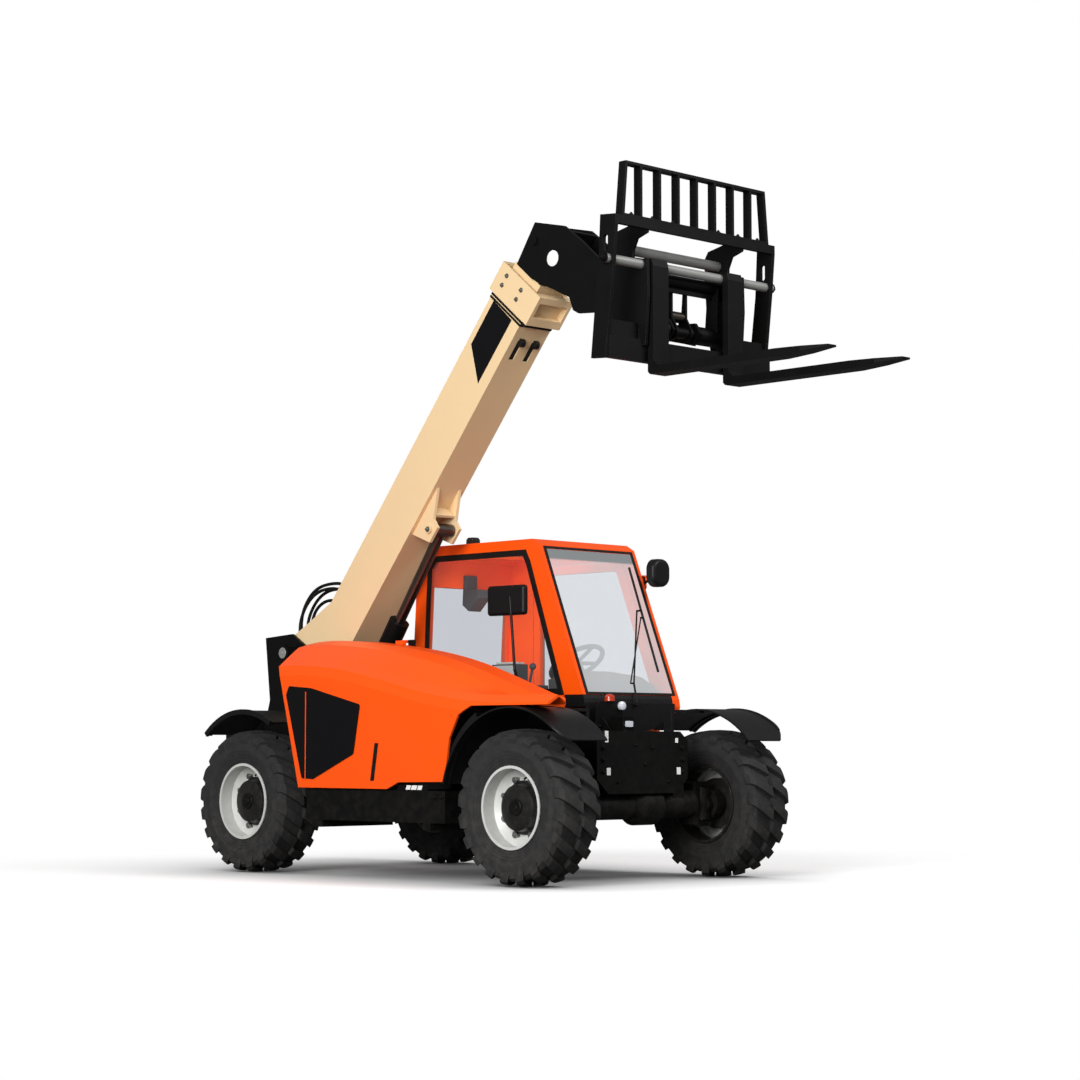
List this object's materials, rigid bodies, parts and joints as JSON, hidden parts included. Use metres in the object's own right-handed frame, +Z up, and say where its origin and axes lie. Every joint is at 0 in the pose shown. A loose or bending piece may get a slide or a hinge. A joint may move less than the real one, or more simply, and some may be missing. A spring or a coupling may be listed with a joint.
{
  "type": "compact telehandler",
  "caption": "Compact telehandler with four-wheel steering, a side-mounted telescopic boom raised high, a glazed cab, and a fork carriage with load backrest.",
  "frame": {"origin": "centre of the bounding box on the ground plane", "axes": "+X forward, +Y to the machine's left, +Z up"},
  "size_m": [4.8224, 1.815, 3.7819],
  "materials": {
    "orange_paint": "gloss paint",
    "hood_shell": "gloss moulded shell",
    "cream_paint": "satin paint",
    "black_paint": "satin paint",
    "black_casting": "painted casting",
    "black_plastic": "textured moulding",
    "interior_grey": "textured moulding",
    "seat_cover": "vinyl cover",
    "lamp_amber": "translucent lens",
    "rim_silver": "satin paint",
    "tyre_rubber": "moulded rubber",
    "rod_chrome": "polished",
    "shaft_steel": "turned",
    "engine_iron": "as cast, painted",
    "clear_glass": "clear",
    "seal_rubber": "moulded strip",
    "hose_rubber": "smooth"
  },
  "bodies": {
    "chassis": {"frame": "black_paint", "front_panel": "black_paint", "boom_tower": "black_paint", "counterweight": "black_casting", "engine_block": "engine_iron", "engine_tray": "black_paint", "engine_bay_wall": "black_paint", "left_tank": "black_plastic", "front_axle": "black_casting", "rear_axle": "black_casting", "fenders": "black_plastic", "cab_frame": "orange_paint", "windshield": "clear_glass", "cab_glass": "clear_glass", "seat": "seat_cover", "cab_interior": "interior_grey", "steering_wheel": "black_plastic", "mirrors": "black_plastic", "work_lamps": "lamp_amber", "cab_cowl": "black_plastic", "window_seals": "seal_rubber", "wiper": "black_plastic", "front_deck": "black_paint", "front_lamps": "lamp_amber"},
    "hood": {"engine_hood": "hood_shell", "hood_side_panel": "black_paint"},
    "door": {"cab_door": "orange_paint", "door_glass": "clear_glass"},
    "front_tie": {"front_steering_rod": "black_paint"},
    "rear_tie": {"rear_steering_rod": "black_paint"},
    "boom": {"outer_boom": "cream_paint", "boom_hoses": "hose_rubber"},
    "telescope": {"inner_boom": "cream_paint", "boom_head": "black_paint"},
    "lift_barrel": {"lift_cylinder_barrel": "black_paint"},
    "lift_rod": {"lift_cylinder_rod": "rod_chrome"},
    "tilt_barrel": {"tilt_cylinder_barrel": "black_paint"},
    "tilt_rod": {"tilt_cylinder_rod": "rod_chrome"},
    "carriage": {"fork_carriage": "black_paint", "load_backrest": "black_paint", "fork_shaft": "shaft_steel"},
    "right_fork": {"fork_right": "black_paint"},
    "left_fork": {"fork_left": "black_paint"},
    "knuckle_front_right": {"knuckle_front_right": "black_casting"},
    "wheel_front_right": {"tyre_front_right": "tyre_rubber", "rim_front_right": "rim_silver"},
    "knuckle_front_left": {"knuckle_front_left": "black_casting"},
    "wheel_front_left": {"tyre_front_left": "tyre_rubber", "rim_front_left": "rim_silver"},
    "knuckle_rear_right": {"knuckle_rear_right": "black_casting"},
    "wheel_rear_right": {"tyre_rear_right": "tyre_rubber", "rim_rear_right": "rim_silver"},
    "knuckle_rear_left": {"knuckle_rear_left": "black_casting"},
    "wheel_rear_left": {"tyre_rear_left": "tyre_rubber", "rim_rear_left": "rim_silver"}
  },
  "joints": [
    {"name": "boom_lift", "type": "hinge", "parent": "chassis", "child": "boom", "pos_m": [-2.05625, -0.177, 1.309], "axis": [0, -1, 0], "range_deg": [-45, 17]},
    {"name": "boom_extend", "type": "slide", "parent": "boom", "child": "telescope", "axis": [0.6388, 0, 0.7694], "range_m": [0, 2.2]},
    {"name": "lift_swing", "type": "hinge", "parent": "chassis", "child": "lift_barrel", "pos_m": [-1.78125, -0.177, 0.59], "axis": [0, -1, 0], "range_deg": [-37, 14.1]},
    {"name": "lift_stroke", "type": "slide", "parent": "lift_barrel", "child": "lift_rod", "axis": [0.5787, 0, 0.8156], "range_m": [-0.551, 0.209]},
    {"name": "fork_tilt", "type": "hinge", "parent": "telescope", "child": "carriage", "pos_m": [1.11925, -0.177, 2.95001], "axis": [0, 1, 0], "range_deg": [-51, 60]},
    {"name": "tilt_swing", "type": "hinge", "parent": "telescope", "child": "tilt_barrel", "pos_m": [0.6958, -0.177, 3.10531], "axis": [0, -1, 0], "range_deg": [-4.2, 4.9]},
    {"name": "tilt_stroke", "type": "slide", "parent": "tilt_barrel", "child": "tilt_rod", "axis": [0.9864, 0, -0.1644], "range_m": [-0.063, 0.074]},
    {"name": "fork_right_slide", "type": "slide", "parent": "carriage", "child": "right_fork", "axis": [0, 1, 0], "range_m": [0, 0.09]},
    {"name": "fork_left_slide", "type": "slide", "parent": "carriage", "child": "left_fork", "axis": [0, -1, 0], "range_m": [0, 0.09]},
    {"name": "steer_front_right", "type": "hinge", "parent": "chassis", "child": "knuckle_front_right", "pos_m": [0.55375, -0.6, 0.4155], "axis": [0, 0, 1], "range_deg": [-35, 35]},
    {"name": "spin_front_right", "type": "hinge", "parent": "knuckle_front_right", "child": "wheel_front_right", "pos_m": [0.55375, -0.755, 0.4155], "axis": [0, 1, 0], "continuous": true},
    {"name": "steer_front_left", "type": "hinge", "parent": "chassis", "child": "knuckle_front_left", "pos_m": [0.55375, 0.6, 0.4155], "axis": [0, 0, 1], "range_deg": [-35, 35]},
    {"name": "spin_front_left", "type": "hinge", "parent": "knuckle_front_left", "child": "wheel_front_left", "pos_m": [0.55375, 0.755, 0.4155], "axis": [0, 1, 0], "continuous": true},
    {"name": "steer_rear_right", "type": "hinge", "parent": "chassis", "child": "knuckle_rear_right", "pos_m": [-1.73125, -0.6, 0.4155], "axis": [0, 0, -1], "range_deg": [-35, 35]},
    {"name": "spin_rear_right", "type": "hinge", "parent": "knuckle_rear_right", "child": "wheel_rear_right", "pos_m": [-1.73125, -0.755, 0.4155], "axis": [0, 1, 0], "continuous": true},
    {"name": "steer_rear_left", "type": "hinge", "parent": "chassis", "child": "knuckle_rear_left", "pos_m": [-1.73125, 0.6, 0.4155], "axis": [0, 0, -1], "range_deg": [-35, 35]},
    {"name": "spin_rear_left", "type": "hinge", "parent": "knuckle_rear_left", "child": "wheel_rear_left", "pos_m": [-1.73125, 0.755, 0.4155], "axis": [0, 1, 0], "continuous": true},
    {"name": "front_tie_slide", "type": "slide", "parent": "chassis", "child": "front_tie", "axis": [0, -1, 0], "range_m": [-0.096, 0.096]},
    {"name": "rear_tie_slide", "type": "slide", "parent": "chassis", "child": "rear_tie", "axis": [0, -1, 0], "range_m": [-0.096, 0.096]},
    {"name": "hood_open", "type": "hinge", "parent": "chassis", "child": "hood", "pos_m": [-1.73125, -0.374, 1.345], "axis": [-1, 0, 0], "range_deg": [0, 55]},
    {"name": "door_open", "type": "hinge", "parent": "chassis", "child": "door", "pos_m": [-1.04125, 0.866, 0], "axis": [0, 0, 1], "range_deg": [0, 85]}
  ],
  "couplings": [
    {"joint": "lift_swing", "follows": "boom_lift", "ratio": 0.82},
    {"joint": "lift_stroke", "follows": "boom_lift", "m_per_rad": 0.7},
    {"joint": "tilt_swing", "follows": "fork_tilt", "ratio": 0.08},
    {"joint": "tilt_stroke", "follows": "fork_tilt", "m_per_rad": 0.07},
    {"joint": "steer_front_left", "follows": "steer_front_right", "ratio": 1},
    {"joint": "steer_rear_left", "follows": "steer_rear_right", "ratio": 1},
    {"joint": "front_tie_slide", "follows": "steer_front_right", "m_per_rad": 0.155},
    {"joint": "rear_tie_slide", "follows": "steer_rear_right", "m_per_rad": 0.155}
  ]
}
